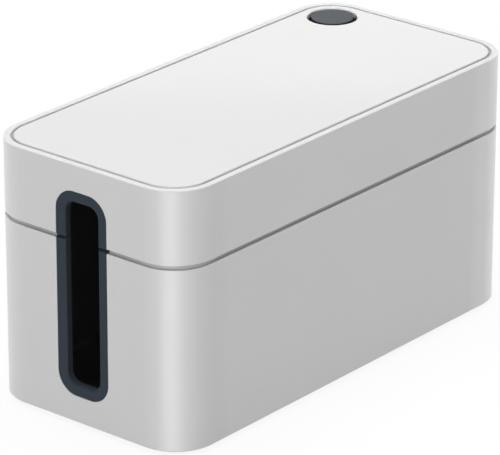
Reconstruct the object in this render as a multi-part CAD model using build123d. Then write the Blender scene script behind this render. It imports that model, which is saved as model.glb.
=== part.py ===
"""Desktop box that hides a power strip and its spare cable.

An open tray and a lift-off lid, both plain mouldings with rounded upright corners. A tall slot at each
end is shared by the two mouldings, and each half of it holds a soft trim whose back flange slides into
L-shaped keepers. The lid stands on a lip inside the tray's rim, which leaves an open line all round, and
has a round port with a soft plug.

Millimetres. +X is along the box, from the front slot to the rear one, +Y across it and +Z up. The origin
is on the table, under the middle of the box.
"""

from build123d import *
import os

# ---------------------------------------------------------------- outer form
LENGTH = 246.0           # over the end walls
WIDTH = 116.0            # over the side walls
CORNER_R = 21.0          # upright corners, in plan
BASE_HEIGHT = 88.2       # tray, underside to rim
REVEAL = 2.3             # open line between the tray's rim and the lid's
LID_HEIGHT = 35.5        # lid, rim to top
WALL = 3.2               # upright walls of both mouldings
FLOOR = 3.0              # tray bottom
TOP = 3.0                # lid top
UNDER_EDGE = 0.4         # chamfer under the tray
TOP_EDGE_R = 0.6         # round edge of the lid's top
TRAY_ROOT = 2.0          # bevel inside, where the tray's walls meet its floor
LID_ROOT = 2.0           # bevel inside, where the lid's walls meet its top

# ---------------------------------------------------------------- lip that carries and locates the lid
LIP_SET = 1.7            # outer face of the box to outer face of the lip
LIP_THICK = 1.3
LIP_HEIGHT = 7.9         # above the tray's rim
LIP_LEAD = 0.5           # chamfer that guides the lid on
LIP_CLEAR = 0.3          # side clearance between lip and lid

# ---------------------------------------------------------------- groove round the lid's top
GROOVE_INSET = 3.1       # outer face of the box to the groove
GROOVE_WIDTH = 1.6
GROOVE_DEPTH = 1.4
GROOVE_EDGE = 0.25       # broken edges of the groove

# ---------------------------------------------------------------- end slots and their trims
SLOT_WIDTH = 30.2
SLOT_HEIGHT = 100.1
SLOT_SILL = 13.1         # tray's underside to the bottom of the slot
SLOT_R = 10.8            # corners of the slot
TRIM_FACE = 5.3          # width of the trim's visible face
TRIM_FIT = 0.1           # trim to slot, all round
TRIM_LIP = 0.7           # bevel of the opening that cables bear on
TRIM_BACK = 0.8          # bevel of the same opening, on the inside of the box
TRIM_EDGE = 0.25         # bevel round the trim's face
TRIM_PARTING = 0.3       # lower trim to upper trim, with the lid on
PARTING_FLARE = 0.7      # how much that gap widens at the trim's face, up and down
FLANGE_REACH = 3.0       # trim's back flange, past the edge of the slot
FLANGE_THICK = 1.6

# ---------------------------------------------------------------- keepers behind the slots
KEEPER_GAP = 0.2         # flange to keeper
KEEPER_THICK = 1.6
KEEPER_REACH = 2.0       # how far a keeper hooks over the flange
CROWN_KEEPER = 9.0       # length of the keeper over the middle of the slot
KEEPER_SET_BACK = 1.0    # side keepers stop this far short of a rim or shoulder

# ---------------------------------------------------------------- port in the lid and its plug
PORT_INSET = 20.5        # centre of the port to the side wall's and end wall's outer faces
PORT_D = 24.7
PORT_DEPTH = 7.0         # lid top to the ledge that carries the plug
PORT_EDGE = 0.5          # bevel round the mouth of the port
PORT_BORE_D = 17.0       # way through the ledge, for a charging lead
LEDGE_THICK = 1.6
BOSS_WALL = 2.2          # boss under the lid, round the port
PLUG_CLEAR = 0.3         # plug to port and to bore
PLUG_SINK = 0.1          # button below the lid's top
BUTTON_D = 20.5
BUTTON_EDGE = 0.35
BUTTON_THICK = 1.8       # web that closes the hollow stem
PLUG_FLANGE = 0.9
STEM_WALL = 1.4
STEM_PROUD = 2.4         # stem below the ledge
STEM_LEAD = 0.4

# ---------------------------------------------------------------- feet
FOOT_STAND = 2.0         # foot below the tray's underside
FOOT_D = 12.0
FOOT_INSET = 21.0        # centre of a foot to both outer faces
FOOT_POCKET = 1.0        # depth of the recess that a foot sits in
FOOT_FIT = 0.15          # foot to recess, all round
FOOT_EDGE = 0.6

# ---------------------------------------------------------------- levels and planes that follow
Z_UNDER = FOOT_STAND
Z_RIM = Z_UNDER + BASE_HEIGHT
Z_LIP = Z_RIM + LIP_HEIGHT
Z_LID = Z_RIM + REVEAL
Z_TOP = Z_LID + LID_HEIGHT
Z_PARTING = (Z_RIM + Z_LID) / 2
Z_SLOT = Z_UNDER + SLOT_SILL + SLOT_HEIGHT / 2
X_FRONT = -LENGTH / 2
X_INSIDE = X_FRONT + WALL
LID_RIM_THICK = LIP_SET - LIP_CLEAR
Z_LEDGE = Z_TOP - PORT_DEPTH
CUT = 5.0                # how far a cutter runs past the face it opens


# ---------------------------------------------------------------- shared shapes
def block(inset, z_low, z_high):
    """The box's plan, drawn in by inset, as a solid between two levels."""
    plan = RectangleRounded(LENGTH - 2 * inset, WIDTH - 2 * inset, CORNER_R - inset)
    return extrude(Pos(0, 0, z_low) * plan, amount=z_high - z_low)


def slot_block(grow, x_low, x_high):
    """The front slot's outline, grown on every side, as a solid between two planes across X."""
    outline = RectangleRounded(SLOT_WIDTH + 2 * grow, SLOT_HEIGHT + 2 * grow, SLOT_R + grow)
    face = Plane(origin=(x_low, 0, Z_SLOT), x_dir=(0, 1, 0), z_dir=(1, 0, 0)) * outline
    return extrude(face, amount=x_high - x_low)


def slab(z_low, z_high):
    """Everything between two levels."""
    side = LENGTH + WIDTH
    return Pos(0, 0, z_low) * Box(side, side, z_high - z_low, align=(Align.CENTER, Align.CENTER, Align.MIN))


def at_both_ends(front):
    """The front end's feature and the same one turned round to the rear end."""
    return [front, Rot(0, 0, 180) * front]


def rings_at(solid, plane_axis, level):
    """Edges of the solid that lie in the plane at a level along an axis."""
    return solid.edges().filter_by_position(plane_axis, level, level)


# ---------------------------------------------------------------- keepers
def keeper(corner, away, run):
    """L-shaped rib on the end wall that hooks over a trim's flange.

    corner is the middle of the flange's edge where it meets the wall, away points from there away from
    the slot, and run is the rib's length.
    """
    depth = FLANGE_THICK + KEEPER_GAP + KEEPER_THICK
    back = KEEPER_GAP + KEEPER_THICK
    hook = depth - KEEPER_THICK
    points = [
        (0, KEEPER_GAP),
        (0, back),
        (depth, back),
        (depth, -KEEPER_REACH),
        (hook, -KEEPER_REACH),
        (hook, KEEPER_GAP),
    ]
    normal = Vector(1, 0, 0).cross(Vector(*away))
    profile = make_face(Polyline(*points, close=True))
    start = Vector(*corner) - normal * (run / 2)
    return extrude(Plane(origin=start, x_dir=(1, 0, 0), z_dir=normal) * profile, amount=run)


def keepers(z_low, z_high, crown):
    """Two side keepers between two levels, and one over the middle of the slot's closed end."""
    side = SLOT_WIDTH / 2 + FLANGE_REACH
    middle = (z_low + z_high) / 2
    end = Z_SLOT + crown * (SLOT_HEIGHT / 2 + FLANGE_REACH)
    ribs = [keeper((X_INSIDE, hand * side, middle), (0, hand, 0), z_high - z_low) for hand in (-1, 1)]
    ribs.append(keeper((X_INSIDE, 0, end), (0, 0, crown), CROWN_KEEPER))
    return ribs


# ---------------------------------------------------------------- mouldings
def make_base_shell():
    """Tray: floor, walls, locating lip, half slots, keepers and foot recesses."""
    shell = block(0, Z_UNDER, Z_RIM)
    shell = chamfer(rings_at(shell, Axis.Z, Z_UNDER), UNDER_EDGE)
    cavity = block(WALL, Z_UNDER + FLOOR, Z_RIM)
    cavity = chamfer(rings_at(cavity, Axis.Z, Z_UNDER + FLOOR), TRAY_ROOT)
    lip = block(LIP_SET, Z_RIM, Z_LIP)
    lip = chamfer(rings_at(lip, Axis.Z, Z_LIP), LIP_LEAD)
    lip -= block(LIP_SET + LIP_THICK, Z_RIM, Z_LIP)
    lip_break = Box(2 * (WALL + CUT), SLOT_WIDTH + 2 * LIP_CLEAR, 2 * LIP_HEIGHT)
    for gap in at_both_ends(Pos(X_FRONT, 0, Z_LIP) * lip_break):
        lip -= gap
    shell = shell - cavity + lip
    for slot in at_both_ends(slot_block(0, X_FRONT - CUT, X_INSIDE + CUT)):
        shell -= slot
    straight_end = Z_SLOT - SLOT_HEIGHT / 2 + SLOT_R
    for rib in keepers(straight_end, Z_RIM - KEEPER_SET_BACK, -1):
        for copy in at_both_ends(rib):
            shell += copy
    recess = Cylinder(FOOT_D / 2 + FOOT_FIT, 2 * FOOT_POCKET)
    for spot in foot_spots():
        shell -= spot * Pos(0, 0, Z_UNDER) * recess
    return shell


def make_lid_shell():
    """Lid: top with its groove and port, walls, shoulder over the lip, half slots and keepers."""
    shell = block(0, Z_LID, Z_TOP)
    shell = fillet(rings_at(shell, Axis.Z, Z_TOP), TOP_EDGE_R)
    cavity = block(WALL, Z_LID, Z_TOP - TOP)
    cavity = chamfer(rings_at(cavity, Axis.Z, Z_TOP - TOP), LID_ROOT)
    shell = shell - cavity - block(LID_RIM_THICK, Z_LID, Z_LIP)
    shell = shell - groove() + port_boss() - port_hole()
    for slot in at_both_ends(slot_block(0, X_FRONT - CUT, X_INSIDE + CUT)):
        shell -= slot
    straight_end = Z_SLOT + SLOT_HEIGHT / 2 - SLOT_R
    for rib in keepers(Z_LIP + KEEPER_SET_BACK, straight_end, 1):
        for copy in at_both_ends(rib):
            shell += copy
    return shell


def groove():
    """Ring-shaped cutter for the groove, flared at the top to break its edges."""
    inner = GROOVE_INSET + GROOVE_WIDTH
    ring = block(GROOVE_INSET, Z_TOP - GROOVE_DEPTH, Z_TOP) - block(inner, Z_TOP - GROOVE_DEPTH, Z_TOP)
    flare_out = GROOVE_INSET - GROOVE_EDGE
    flare_in = inner + GROOVE_EDGE
    flare = block(flare_out, Z_TOP - GROOVE_EDGE, Z_TOP)
    flare = chamfer(rings_at(flare, Axis.Z, Z_TOP - GROOVE_EDGE), GROOVE_EDGE * 0.99)
    land = block(flare_in, Z_TOP - GROOVE_EDGE, Z_TOP)
    return ring + (flare - land)


def port_spot():
    """Place of the port: in the rear left corner of the lid."""
    return Pos(LENGTH / 2 - PORT_INSET, WIDTH / 2 - PORT_INSET, 0)


def round_part(points):
    """Solid turned about Z from an outline of (radius, level) points."""
    outline = make_face(Polyline(*points, close=True))
    return revolve(Plane.XZ * outline, Axis.Z)


def port_boss():
    """Boss under the lid that the port's ledge is part of."""
    radius = PORT_D / 2 + BOSS_WALL
    low = Z_LEDGE - LEDGE_THICK
    high = Z_TOP - TOP / 2
    return port_spot() * round_part([(0, low), (radius, low), (radius, high), (0, high)])


def port_hole():
    """Cutter for the port: a bevelled mouth, the recess for the plug and the bore through the ledge."""
    mouth = PORT_D / 2
    bore = PORT_BORE_D / 2
    low = Z_LEDGE - LEDGE_THICK - CUT
    hole = round_part([(0, low), (bore, low), (bore, Z_LEDGE), (mouth, Z_LEDGE), (mouth, Z_TOP), (0, Z_TOP)])
    rim = round_part([
        (mouth, Z_TOP - PORT_EDGE),
        (mouth + PORT_EDGE, Z_TOP),
        (0, Z_TOP),
        (0, Z_TOP - PORT_EDGE),
    ])
    return port_spot() * (hole + rim)


# ---------------------------------------------------------------- soft parts
def make_slot_trims():
    """Lower and upper trim of the front slot, parted half way between the two rims."""
    ring = slot_block(-TRIM_FIT, X_FRONT, X_INSIDE)
    ring = chamfer(rings_at(ring, Axis.X, X_FRONT), TRIM_EDGE)
    flange = slot_block(FLANGE_REACH, X_INSIDE, X_INSIDE + FLANGE_THICK)
    opening = slot_block(-TRIM_FACE, X_FRONT, X_INSIDE + FLANGE_THICK)
    trim = ring + flange - opening
    trim = chamfer(inner_ring(trim, X_FRONT), TRIM_LIP)
    trim = chamfer(inner_ring(trim, X_INSIDE + FLANGE_THICK), TRIM_BACK) - parting()
    return trim & slab(0, Z_PARTING), trim & slab(Z_PARTING, Z_TOP)


def parting():
    """Cutter between the halves of a trim: a thin gap that flares at the trim's face."""
    half = TRIM_PARTING / 2
    mouth = half + PARTING_FLARE
    back = X_INSIDE + CUT
    points = [
        (X_FRONT, -mouth),
        (X_FRONT + PARTING_FLARE, -half),
        (back, -half),
        (back, half),
        (X_FRONT + PARTING_FLARE, half),
        (X_FRONT, mouth),
    ]
    profile = make_face(Polyline(*points, close=True))
    side = Plane(origin=(0, SLOT_WIDTH, Z_PARTING), x_dir=(1, 0, 0), z_dir=(0, -1, 0))
    return extrude(side * profile, amount=2 * SLOT_WIDTH)


def inner_ring(trim, x):
    """Edges round the cable opening of a trim, in the plane at x."""
    reach = SLOT_WIDTH / 2 - TRIM_FACE
    edges = rings_at(trim, Axis.X, x)
    top = Z_SLOT + SLOT_HEIGHT / 2 - TRIM_FACE
    bottom = Z_SLOT - SLOT_HEIGHT / 2 + TRIM_FACE
    near = 0.01
    inside = edges.filter_by_position(Axis.Y, -reach - near, reach + near)
    return inside.filter_by_position(Axis.Z, bottom - near, top + near)


def make_port_plug():
    """Soft plug: a button flush with the lid, a flange on the port's ledge and a hollow stem."""
    button = BUTTON_D / 2
    face = Z_TOP - PLUG_SINK
    flange = PORT_D / 2 - PLUG_CLEAR
    stem = PORT_BORE_D / 2 - PLUG_CLEAR
    hollow = stem - STEM_WALL
    stem_end = Z_LEDGE - LEDGE_THICK - STEM_PROUD
    ceiling = face - BUTTON_THICK
    plug = round_part([
        (0, face),
        (button, face),
        (button, Z_LEDGE + PLUG_FLANGE),
        (flange, Z_LEDGE + PLUG_FLANGE),
        (flange, Z_LEDGE),
        (stem, Z_LEDGE),
        (stem, stem_end),
        (hollow, stem_end),
        (hollow, ceiling),
        (0, ceiling),
    ])
    plug = chamfer(rings_at(plug, Axis.Z, face), BUTTON_EDGE)
    outer_end = rings_at(plug, Axis.Z, stem_end).sort_by(SortBy.RADIUS)[-1]
    plug = chamfer(outer_end, STEM_LEAD)
    return port_spot() * plug


def foot_spots():
    """Places of the four feet: front right, front left, rear right, rear left."""
    x = LENGTH / 2 - FOOT_INSET
    y = WIDTH / 2 - FOOT_INSET
    return [Pos(along * x, across * y, 0) for along in (-1, 1) for across in (-1, 1)]


def make_foot():
    """Soft foot: a disc with a bevelled lower edge."""
    radius = FOOT_D / 2
    top = Z_UNDER + FOOT_POCKET
    return round_part([(0, 0), (radius - FOOT_EDGE, 0), (radius, FOOT_EDGE), (radius, top), (0, top)])


# ---------------------------------------------------------------- assembly
def make_nodes():
    """Every piece of the box, by name."""
    lower, upper = make_slot_trims()
    turn = Rot(0, 0, 180)
    nodes = {
        "base_shell": make_base_shell(),
        "lid_shell": make_lid_shell(),
        "port_plug": make_port_plug(),
        "slot_trim_front_lower": lower,
        "slot_trim_front_upper": upper,
        "slot_trim_rear_lower": turn * lower,
        "slot_trim_rear_upper": turn * upper,
    }
    names = ("foot_front_right", "foot_front_left", "foot_rear_right", "foot_rear_left")
    foot = make_foot()
    for name, spot in zip(names, foot_spots()):
        nodes[name] = spot * foot
    return nodes


os.makedirs("parts", exist_ok=True)
for node_name, solid in make_nodes().items():
    export_step(solid, f"parts/{node_name}.step")
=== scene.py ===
import math

import bpy
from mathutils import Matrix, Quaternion, Vector


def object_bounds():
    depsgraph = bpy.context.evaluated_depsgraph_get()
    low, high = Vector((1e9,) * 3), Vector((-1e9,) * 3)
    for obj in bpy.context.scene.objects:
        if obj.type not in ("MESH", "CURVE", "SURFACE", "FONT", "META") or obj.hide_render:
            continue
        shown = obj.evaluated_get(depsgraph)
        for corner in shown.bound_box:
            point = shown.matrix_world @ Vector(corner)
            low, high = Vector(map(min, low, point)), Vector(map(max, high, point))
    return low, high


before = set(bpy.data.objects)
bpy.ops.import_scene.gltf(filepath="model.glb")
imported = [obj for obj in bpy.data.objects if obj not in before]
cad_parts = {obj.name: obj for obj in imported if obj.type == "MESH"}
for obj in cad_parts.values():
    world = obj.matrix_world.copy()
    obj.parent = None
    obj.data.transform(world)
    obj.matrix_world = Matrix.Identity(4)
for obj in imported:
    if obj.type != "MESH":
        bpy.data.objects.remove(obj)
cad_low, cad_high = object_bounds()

MM = 0.001

# ---------------------------------------------------------------- sizes of the box
BOX_LENGTH = cad_high.x - cad_low.x
BOX_WIDTH = cad_high.y - cad_low.y
BOX_TOP = cad_high.z
BOX_MIDDLE = Vector((0, 0, BOX_TOP / 2))
CORNER_RADIUS = 21 * MM
WALL = 3.2 * MM
FEET_SHOW = 2 * MM
TRAY_BOTTOM = 3 * MM
LID_HEIGHT = 35.5 * MM
LID_THICK = 3 * MM
OPEN_LINE = 2.3 * MM
GROOVE_INSET = 3.1 * MM
GROOVE_WIDTH = 1.6 * MM
GROOVE_DEPTH = 1.4 * MM

TRAY_FLOOR_TOP = FEET_SHOW + TRAY_BOTTOM
TRAY_RIM = BOX_TOP - LID_HEIGHT - OPEN_LINE
TRIM_PARTING = TRAY_RIM + OPEN_LINE / 2
LID_CEILING = BOX_TOP - LID_THICK
GROOVE_INNER = GROOVE_INSET + GROOVE_WIDTH

# ---------------------------------------------------------------- where each finish comes in
# Each pair says where a mask leaves 0 and where it reaches 1.
# Heights:
ABOVE_TRAY_FLOOR = (TRAY_FLOOR_TOP - 0.6 * MM, TRAY_FLOOR_TOP - 0.2 * MM)
ABOVE_TRAY_RIM = (TRAY_RIM - 0.5 * MM, TRAY_RIM - 0.1 * MM)
DOWN_IN_TRAY = (75 * MM, TRAY_FLOOR_TOP)
UNDER_LID_TOP = (LID_CEILING + 0.6 * MM, LID_CEILING + 0.1 * MM)
DOWN_IN_GROOVE = (BOX_TOP - 0.9 * MM, BOX_TOP - GROOVE_DEPTH)
ON_BAND = (BOX_TOP - 0.6 * MM, BOX_TOP - 0.3 * MM)
ON_LID_TOP = (BOX_TOP - 0.3 * MM, BOX_TOP - 0.1 * MM)
ON_UPRIGHT_FACES = (BOX_TOP - 0.2 * MM, BOX_TOP - 0.9 * MM)
ON_PLUG_SIDE = (BOX_TOP - 0.15 * MM, BOX_TOP - 0.5 * MM)
# Distances in from the box's outer face:
ON_LIP = (0.6 * MM, 1.4 * MM)
ON_INNER_FACES = (WALL - 0.35 * MM, WALL - 0.1 * MM)
PAST_BAND = (GROOVE_INSET - 0.1 * MM, GROOVE_INSET)
BEFORE_GROOVE_ENDS = (GROOVE_INNER + 0.1 * MM, GROOVE_INNER)
PAST_GROOVE = (GROOVE_INNER, GROOVE_INNER + 0.3 * MM)
# Distances along the box from its middle:
BEHIND_TRIM_FACE = (BOX_LENGTH / 2 - 0.5 * MM, BOX_LENGTH / 2 - 0.9 * MM)
# Distances up or down from the line where the trims part:
NEAR_PARTING = (1.0 * MM, 0.6 * MM)
# Distances over the floor from the middle of the box:
BEYOND_SHADOW = (200 * MM, 450 * MM)


# ---------------------------------------------------------------- shader maths
class Value:
    """A socket of a shader that can be written in ordinary arithmetic."""

    def __init__(self, shader, socket):
        self.shader = shader
        self.socket = socket

    def __add__(self, other):
        return self.shader.maths("ADD", self, other)

    def __sub__(self, other):
        return self.shader.maths("SUBTRACT", self, other)

    def __rsub__(self, other):
        return self.shader.maths("SUBTRACT", other, self)

    def __mul__(self, other):
        return self.shader.maths("MULTIPLY", self, other)

    def __abs__(self):
        return self.shader.maths("ABSOLUTE", self)

    __radd__ = __add__
    __rmul__ = __mul__


class Shader:
    """One material, or the world, and the nodes that it is made of."""

    def __init__(self, owner):
        self.owner = owner
        owner.use_nodes = True
        self.tree = owner.node_tree
        self.tree.nodes.clear()

    def node(self, kind, settings=None, inputs=None):
        """A new node: its settings first, then what goes into its sockets."""
        made = self.tree.nodes.new(kind)
        for name, setting in (settings or {}).items():
            setattr(made, name, setting)
        for name, given in (inputs or {}).items():
            self.feed(made.inputs[name], given)
        return made

    def feed(self, socket, given):
        """Links a value to a socket, or sets a plain number or colour on it."""
        if isinstance(given, Value):
            self.tree.links.new(given.socket, socket)
        else:
            socket.default_value = given

    def out(self, made, name=0):
        return Value(self, made.outputs[name])

    def maths(self, operation, *values):
        made = self.node("ShaderNodeMath", {"operation": operation}, dict(enumerate(values)))
        return self.out(made)

    def smooth(self, value, low, high):
        """0 up to low, 1 from high on and a smooth step between. It falls where low is above high."""
        made = self.node(
            "ShaderNodeMapRange",
            {"interpolation_type": "SMOOTHSTEP"},
            {"Value": value, "From Min": low, "From Max": high},
        )
        return self.out(made)

    def place(self):
        """Where a point is in the piece's own frame, in metres."""
        made = self.node("ShaderNodeTexCoord")
        return self.out(made, "Object")

    def split(self, vector):
        made = self.node("ShaderNodeSeparateXYZ", None, {"Vector": vector})
        return [self.out(made, axis) for axis in "XYZ"]

    def grain(self, grain_size, detail, stretch=(1, 1, 1)):
        """Soft random texture, 0 to 1, whose grains are about grain_size across."""
        stretched = self.node(
            "ShaderNodeVectorMath",
            {"operation": "MULTIPLY"},
            {0: self.place(), 1: stretch},
        )
        made = self.node(
            "ShaderNodeTexNoise",
            None,
            {"Vector": self.out(stretched), "Scale": 1 / grain_size, "Detail": detail},
        )
        return self.out(made)

    def blend(self, mask, low, high):
        """A colour that goes from low to high as the mask goes from 0 to 1."""
        made = self.node(
            "ShaderNodeMix",
            {"data_type": "RGBA"},
            {"Factor": mask, 6: low, 7: high},
        )
        return self.out(made, 2)

    def bump(self, height, depth, strength=1.0, under=None):
        """A normal that follows height times depth, over another normal or over the piece's own one."""
        inputs = {"Height": height, "Distance": depth, "Strength": strength}
        if under:
            inputs["Normal"] = under
        made = self.node("ShaderNodeBump", None, inputs)
        return self.out(made)

    def surface(self, **inputs):
        """The plastic or rubber itself, wired to the material's output."""
        named = {name.replace("_", " "): given for name, given in inputs.items()}
        made = self.node("ShaderNodeBsdfPrincipled", None, named)
        self.node("ShaderNodeOutputMaterial", None, {"Surface": self.out(made)})


def colour(red, green, blue):
    return (red, green, blue, 1)


def grey(level):
    return colour(level, level, level)


# ---------------------------------------------------------------- white mouldings
WHITE_DULL = grey(0.800)
WHITE_BRIGHT = grey(0.830)
SPECK_SHADE = grey(0.62)
SPECK_SHARE = 0.05
# Painted shade for the faces within the box: near black, lighter towards the tray floor.
INSIDE_SHADE_DULL = grey(0.030)
INSIDE_SHADE_BRIGHT = grey(0.048)
INSIDE_SHADE_LOW_DOWN = grey(0.110)
# Painted grey shade, for the tray's lip in the open line under the lid and for the lid's groove and
# band.
PAINTED_SHADE_GREY = grey(0.45)
# How much less painted shade the lip gets round the corners, where it looks lighter.
LIP_SHADE_CORNER_LOSS = 0.25
# How much of the grey painted shade the band between the groove and the edge gets.
BAND_SHADE_SHARE = 0.065

CLOUD_SIZE = 55 * MM
SPECK_SIZE = 0.35 * MM
RUB_SIZE = 9 * MM
RUB_STRETCH = (1, 1, 0.35)
FINE_SIZE = 0.22 * MM
COARSE_SIZE = 1.4 * MM
COARSE_SHARE = 0.6
GRAIN_DEPTH = 0.012 * MM

MOULDED_ROUGHNESS = 0.36
RUB_ROUGHNESS = 0.10
FINE_ROUGHNESS = 0.05
INSIDE_ROUGHNESS = 0.3
PLASTIC_IOR = 1.5
TOP_POLISH = 0.5
POLISH_ROUGHNESS = 0.05

# The upright faces look as if they ease into each round corner: from how far before the arc's start
# to how far past it, and by how much they seem to fall back on the way.
EASE_BEFORE = 12 * MM
EASE_PAST = 6 * MM
EASE_DROP = 2.1 * MM


def inset_from_outside(shader, x, y):
    """How far a point lies in from the box's outer face, on its rounded plan."""
    past_x = abs(x) - (BOX_LENGTH / 2 - CORNER_RADIUS)
    past_y = abs(y) - (BOX_WIDTH / 2 - CORNER_RADIUS)
    round_x = shader.maths("MAXIMUM", past_x, 0)
    round_y = shader.maths("MAXIMUM", past_y, 0)
    outward = shader.maths("SQRT", round_x * round_x + round_y * round_y)
    inward = shader.maths("MINIMUM", shader.maths("MAXIMUM", past_x, past_y), 0)
    return CORNER_RADIUS - outward - inward


def round_corner(shader, x, y):
    """0 on the flats and 1 round each upright corner, from a little before its bend."""
    turned = 1.0
    for across, half in ((x, BOX_LENGTH / 2), (y, BOX_WIDTH / 2)):
        bend = half - CORNER_RADIUS
        turned = turned * shader.smooth(abs(across), bend - EASE_BEFORE, bend + EASE_PAST)
    return turned


def white_moulding(shader, painted_dark_inside, painted_grey_shade, polish):
    """Matt white moulding. Three masks say where it gets the near-black painted shade within, the grey
    painted shade, and polish.
    """
    x, y, z = shader.split(shader.place())
    cloud = shader.grain(CLOUD_SIZE, detail=1)
    speck = shader.grain(SPECK_SIZE, detail=3)
    rub = shader.grain(RUB_SIZE, detail=4, stretch=RUB_STRETCH)
    fine = shader.grain(FINE_SIZE, detail=2)
    coarse = shader.grain(COARSE_SIZE, detail=2)

    white = shader.blend(cloud, WHITE_DULL, WHITE_BRIGHT)
    white = shader.blend(speck * SPECK_SHARE, white, SPECK_SHADE)
    white = shader.blend(painted_grey_shade, white, PAINTED_SHADE_GREY)
    # Painted shade within the box, lighter towards the tray floor.
    inside_shade = shader.blend(speck, INSIDE_SHADE_DULL, INSIDE_SHADE_BRIGHT)
    inside_shade = shader.blend(shader.smooth(z, *DOWN_IN_TRAY), inside_shade, INSIDE_SHADE_LOW_DOWN)

    upright = shader.smooth(z, *ON_UPRIGHT_FACES)
    drop = round_corner(shader, x, y) * -EASE_DROP
    eased = shader.bump(drop, depth=1.0, strength=upright)
    grained = shader.bump(fine + coarse * COARSE_SHARE, GRAIN_DEPTH, under=eased)
    roughness = MOULDED_ROUGHNESS + rub * RUB_ROUGHNESS + fine * FINE_ROUGHNESS
    shader.surface(
        Base_Color=shader.blend(painted_dark_inside, white, inside_shade),
        Roughness=roughness + painted_dark_inside * INSIDE_ROUGHNESS,
        Normal=grained,
        IOR=PLASTIC_IOR,
        Coat_Weight=polish,
        Coat_Roughness=POLISH_ROUGHNESS,
    )
    return shader.owner


def tray_plastic():
    """The tray: painted shade within, and grey painted shade on the lip and its shoulder, lighter round
    the corners.
    """
    shader = Shader(bpy.data.materials.new("tray_plastic"))
    x, y, z = shader.split(shader.place())
    inset = inset_from_outside(shader, x, y)
    # Painted shade on the lip and its shoulder under the lid's overhang; less of it round the corners,
    # standing in for the light they catch there.
    lip = shader.smooth(inset, *ON_LIP) * shader.smooth(z, *ABOVE_TRAY_RIM)
    painted_grey_shade = lip * (1 - round_corner(shader, x, y) * LIP_SHADE_CORNER_LOSS)
    # Painted shade on every face within the tray.
    painted_dark_inside = shader.smooth(inset, *ON_INNER_FACES) * shader.smooth(z, *ABOVE_TRAY_FLOOR)
    return white_moulding(shader, painted_dark_inside, painted_grey_shade, polish=0.0)


def lid_plastic():
    """The lid: painted shade within and in the port, grey painted shade down in the groove and faintly
    on the band outside it, polished on its flat top.
    """
    shader = Shader(bpy.data.materials.new("lid_plastic"))
    x, y, z = shader.split(shader.place())
    inset = inset_from_outside(shader, x, y)
    past_band = shader.smooth(inset, *PAST_BAND)
    ring = past_band * shader.smooth(inset, *BEFORE_GROOVE_ENDS)
    # Painted shade down in the groove, and a faint painted shade on the band between the groove and the
    # edge.
    groove = ring * shader.smooth(z, *DOWN_IN_GROOVE)
    band = (1 - past_band) * shader.smooth(z, *ON_BAND)
    # Painted shade on the faces within the lid and down in the port.
    painted_dark_inside = shader.smooth(inset, *ON_INNER_FACES) * shader.smooth(z, *UNDER_LID_TOP)
    flat = shader.smooth(z, *ON_LID_TOP) * shader.smooth(inset, *PAST_GROOVE)
    return white_moulding(shader, painted_dark_inside, groove + band * BAND_SHADE_SHARE, polish=flat * TOP_POLISH)


# ---------------------------------------------------------------- soft rubber
TRIM_DULL = colour(0.031, 0.041, 0.0545)
TRIM_BRIGHT = colour(0.042, 0.054, 0.0715)
# Painted light: a paler colour on the walls of the cable opening, standing in for light that reaches
# them.
TRIM_OPENING_LIGHT = colour(0.056, 0.065, 0.080)
# Painted shade in the seam where the two trims part.
TRIM_PARTING_SHADE = colour(0.014, 0.018, 0.024)
PLUG_DULL = colour(0.084, 0.091, 0.103)
PLUG_BRIGHT = colour(0.106, 0.113, 0.127)
# Painted shade on the button's side, down in the gap round it.
PLUG_GAP_SHADE = colour(0.012, 0.013, 0.016)
FOOT_DULL = colour(0.030, 0.031, 0.033)
FOOT_BRIGHT = colour(0.045, 0.046, 0.048)

DUST_SIZE = 12 * MM
DUST_SHARE = 0.7
RUBBER_FINE_SIZE = 0.25 * MM
RUBBER_FINE_SHARE = 0.3
PORE_SIZE = 0.7 * MM
PORE_SHARE = 0.5
RUBBER_DEPTH = 0.02 * MM
RUBBER_VARIES = 0.08


def soft_rubber(shader, dull, bright, roughness, sheen, painted_shading=()):
    """Matt rubber with a fine grain and a little dust. Each painted shade or light is a mask and the
    colour it brings.
    """
    dust = shader.grain(DUST_SIZE, detail=3)
    fine = shader.grain(RUBBER_FINE_SIZE, detail=3)
    pores = shader.grain(PORE_SIZE, detail=2)
    shade = shader.blend(dust * DUST_SHARE + fine * RUBBER_FINE_SHARE, dull, bright)
    # Lays each painted shade or painted light over the rubber's colour.
    for mask, painted_colour in painted_shading:
        shade = shader.blend(mask, shade, painted_colour)
    shader.surface(
        Base_Color=shade,
        Roughness=roughness + dust * RUBBER_VARIES + fine * RUBBER_VARIES,
        Normal=shader.bump(fine + pores * PORE_SHARE, RUBBER_DEPTH),
        Specular_IOR_Level=sheen,
    )
    return shader.owner


def trim_rubber():
    """Blue-grey, with painted shade where two trims part and painted light in the cable opening behind
    their face.
    """
    shader = Shader(bpy.data.materials.new("trim_rubber"))
    x, y, z = shader.split(shader.place())
    # Painted shade along the seam between the two trims.
    parting_shade = shader.smooth(abs(z - TRIM_PARTING), *NEAR_PARTING)
    # Painted light on the walls of the cable opening behind the trim's face.
    opening = shader.smooth(abs(x), *BEHIND_TRIM_FACE)
    painted_shading = [(parting_shade, TRIM_PARTING_SHADE), (opening, TRIM_OPENING_LIGHT)]
    return soft_rubber(shader, TRIM_DULL, TRIM_BRIGHT, roughness=0.58, sheen=0.15, painted_shading=painted_shading)


def plug_rubber():
    """Grey, with painted shade on the button's side down in the gap round it."""
    shader = Shader(bpy.data.materials.new("plug_rubber"))
    x, y, z = shader.split(shader.place())
    # Painted shade on the side of the button below its top.
    painted_shading = [(shader.smooth(z, *ON_PLUG_SIDE), PLUG_GAP_SHADE)]
    return soft_rubber(shader, PLUG_DULL, PLUG_BRIGHT, roughness=0.55, sheen=0.25, painted_shading=painted_shading)


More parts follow.
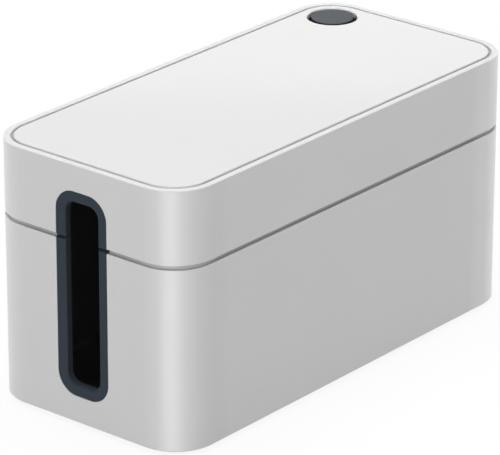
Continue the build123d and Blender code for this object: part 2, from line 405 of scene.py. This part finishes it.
def foot_rubber():
    shader = Shader(bpy.data.materials.new("foot_rubber"))
    return soft_rubber(shader, FOOT_DULL, FOOT_BRIGHT, roughness=0.65, sheen=0.3)


def give(material, name_start):
    """Puts one finish on every piece whose name starts so."""
    for node_name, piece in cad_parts.items():
        if node_name.startswith(name_start):
            piece.data.materials.clear()
            piece.data.materials.append(material)


give(tray_plastic(), "base_shell")
give(lid_plastic(), "lid_shell")
give(trim_rubber(), "slot_trim")
give(plug_rubber(), "port_plug")
give(foot_rubber(), "foot")


# ---------------------------------------------------------------- floor and surroundings
WHITE_GLOW = grey(1.0)


def seen_directly(shader):
    """1 for the camera, for reflections and through glass, 0 for the light that falls on things."""
    path = shader.node("ShaderNodeLightPath")
    by_camera, in_gloss, through_glass = (
        shader.out(path, ray) for ray in ("Is Camera Ray", "Is Glossy Ray", "Is Transmission Ray")
    )
    return shader.maths("MAXIMUM", shader.maths("MAXIMUM", by_camera, in_gloss), through_glass)


def pale_floor(size, bounce, paint, white_share):
    """A floor that keeps a soft shadow near the box and is white further off.

    To the eye it is paint with a share of plain white. What it throws back on the box is bounce.
    """
    mesh = bpy.data.meshes.new("floor")
    half = size / 2
    corners = [(-half, -half, 0), (half, -half, 0), (half, half, 0), (-half, half, 0)]
    mesh.from_pydata(corners, [], [(0, 1, 2, 3)])
    floor = bpy.data.objects.new("floor", mesh)
    bpy.context.scene.collection.objects.link(floor)
    shader = Shader(bpy.data.materials.new("floor_paint"))
    seen = seen_directly(shader)
    cloth = shader.node("ShaderNodeBsdfDiffuse", None, {"Color": shader.blend(seen, bounce, paint)})
    glow = shader.node("ShaderNodeEmission", None, {"Color": WHITE_GLOW, "Strength": 1.0})
    x, y, z = shader.split(shader.place())
    far_off = shader.smooth(shader.maths("SQRT", x * x + y * y), *BEYOND_SHADOW)
    share = white_share + far_off * (1 - white_share)
    mixed = shader.node(
        "ShaderNodeMixShader",
        None,
        {0: seen * share, 1: shader.out(cloth), 2: shader.out(glow)},
    )
    shader.node("ShaderNodeOutputMaterial", None, {"Surface": shader.out(mixed)})
    mesh.materials.append(shader.owner)
    floor.visible_glossy = False
    floor.visible_shadow = False


def white_surroundings(wall_top, soft_edge, ceiling):
    """White all round, to look at and in gloss, which lights no matt surface.

    In gloss, what is more than wall_top degrees up is only as bright as ceiling.
    """
    world = bpy.data.worlds.new("surroundings")
    bpy.context.scene.world = world
    shader = Shader(world)
    seen = seen_directly(shader)
    path = shader.node("ShaderNodeLightPath")
    outward = shader.node("ShaderNodeTexCoord")
    x, y, z = shader.split(shader.out(outward, "Generated"))
    wall_ends = math.sin(math.radians(wall_top - soft_edge))
    ceiling_starts = math.sin(math.radians(wall_top + soft_edge))
    high = shader.smooth(z, wall_ends, ceiling_starts)
    dimmer = high * shader.out(path, "Is Glossy Ray") * (1 - ceiling)
    glow = shader.node("ShaderNodeBackground", None, {"Color": WHITE_GLOW, "Strength": seen - dimmer})
    shader.node("ShaderNodeOutputWorld", None, {"Surface": shader.out(glow)})


pale_floor(size=12.0, bounce=grey(0.30), paint=grey(0.95), white_share=0.90)
white_surroundings(wall_top=20.7, soft_edge=0.15, ceiling=0.3)


# ---------------------------------------------------------------- lamps
def direction(turn, rise):
    """A unit vector, turn degrees from +X towards +Y and rise degrees up."""
    turn, rise = math.radians(turn), math.radians(rise)
    return Vector((math.cos(turn) * math.cos(rise), math.sin(turn) * math.cos(rise), math.sin(rise)))


def around_box(turn, rise, away):
    """A place so many metres away from the middle of the box, in that direction."""
    return BOX_MIDDLE + direction(turn, rise) * away


def soft_lamp(name, place, size, watts, only_gloss=False):
    """A square soft lamp that is out of sight. It lights surfaces, or it only shines in their gloss."""
    light = bpy.data.lights.new(name, "AREA")
    light.shape = "SQUARE"
    light.size = size
    light.energy = watts
    lamp = bpy.data.objects.new(name, light)
    lamp.location = place
    lamp.rotation_euler = (BOX_MIDDLE - place).to_track_quat("-Z", "Y").to_euler()
    lamp.visible_camera = False
    lamp.visible_diffuse = not only_gloss
    lamp.visible_glossy = only_gloss
    bpy.context.scene.collection.objects.link(lamp)


# Sizes and distances in metres. The last three are under the floor, which gloss doesn't see.
SIDE_AWAY = 1.5
CORNER_AWAY = 1.45
GLOSS_AWAY = 1.2
GLOSS_RISE = -22.7
soft_lamp("overhead", Vector((0, 0, 1.5)), size=1.2, watts=18.2)
soft_lamp("rear_side", around_box(0, 14, SIDE_AWAY), size=0.9, watts=11.0)
soft_lamp("left_side", around_box(90, 14, SIDE_AWAY), size=0.9, watts=12.0)
soft_lamp("front_side", around_box(180, 12, SIDE_AWAY), size=0.9, watts=8.7)
soft_lamp("right_side", around_box(270, 12, SIDE_AWAY), size=0.9, watts=6.5)
soft_lamp("near_corner", around_box(217, 8, CORNER_AWAY), size=0.5, watts=1.0)
soft_lamp("corner_gloss", around_box(213, GLOSS_RISE, GLOSS_AWAY), size=0.8, watts=4.0, only_gloss=True)
soft_lamp("left_gloss", around_box(205, GLOSS_RISE, GLOSS_AWAY), size=0.8, watts=5.2, only_gloss=True)
soft_lamp("right_gloss", around_box(350, GLOSS_RISE, GLOSS_AWAY), size=0.6, watts=1.1, only_gloss=True)


# ---------------------------------------------------------------- camera
def set_camera(place, turn, tilt, roll, lens, sensor):
    """A camera at a place, turned from +X towards +Y, tilted down and rolled.

    Its angles are in degrees, its lens and sensor in millimetres.
    """
    camera = bpy.data.cameras.new("camera")
    camera.sensor_width = sensor
    camera.lens = lens
    viewer = bpy.data.objects.new("camera", camera)
    viewer.location = place
    level = direction(turn, -tilt).to_track_quat("-Z", "Y")
    viewer.rotation_euler = (level @ Quaternion((0, 0, 1), math.radians(roll))).to_euler()
    bpy.context.scene.collection.objects.link(viewer)
    bpy.context.scene.camera = viewer


set_camera(
    place=(-1.33286, -1.09902, 0.78115),
    turn=39.619,
    tilt=22.671,
    roll=0.118,
    lens=286.959,
    sensor=36,
)
bpy.context.scene.view_settings.view_transform = "Standard"
